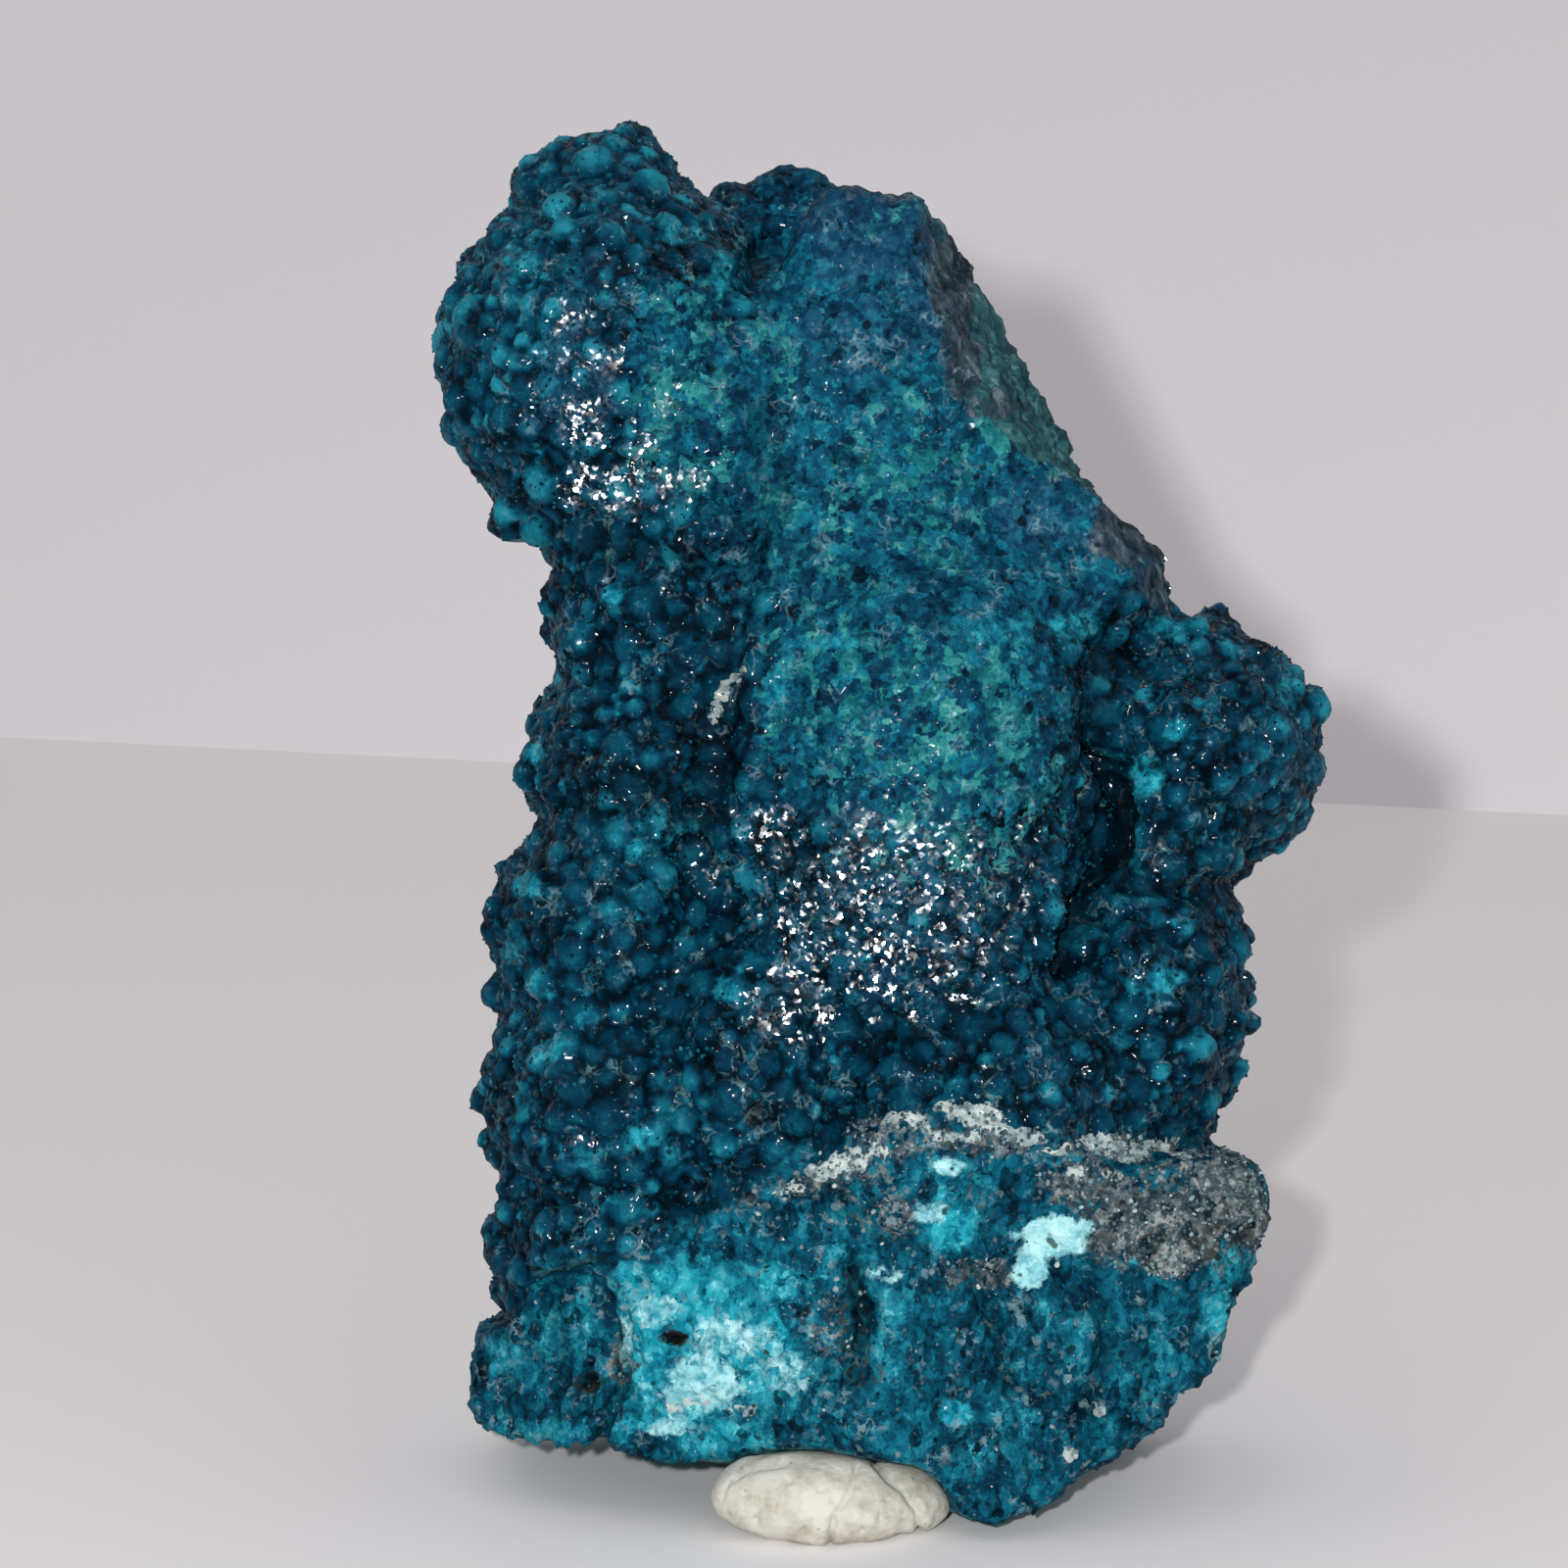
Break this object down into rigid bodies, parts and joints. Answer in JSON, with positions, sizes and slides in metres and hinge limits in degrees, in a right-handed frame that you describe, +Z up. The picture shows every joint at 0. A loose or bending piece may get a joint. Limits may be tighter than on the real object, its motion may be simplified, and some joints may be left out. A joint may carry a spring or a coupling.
{
  "type": "raw malachite specimen",
  "caption": "Upright raw malachite stone with a blue-green beaded crust, sparkling quartz skin and a broken turquoise base, propped on a small lump of pale mounting putty.",
  "frame": {"origin": "middle of the bounding box in plan, on the floor that the stone and the putty stand on", "axes": "+Z up, +X to the right of the crusted face as seen from the front, +Y to the back of the stone"},
  "size_m": [0.0308, 0.0198, 0.047],
  "materials": {
    "stone": "glassy blue-green crust with a quartz sparkle, dull broken base and back",
    "putty": "matt, kneaded and pressed by hand"
  },
  "bodies": {
    "root": {"malachite_stone": "stone", "putty_lump": "putty"}
  },
  "joints": []
}
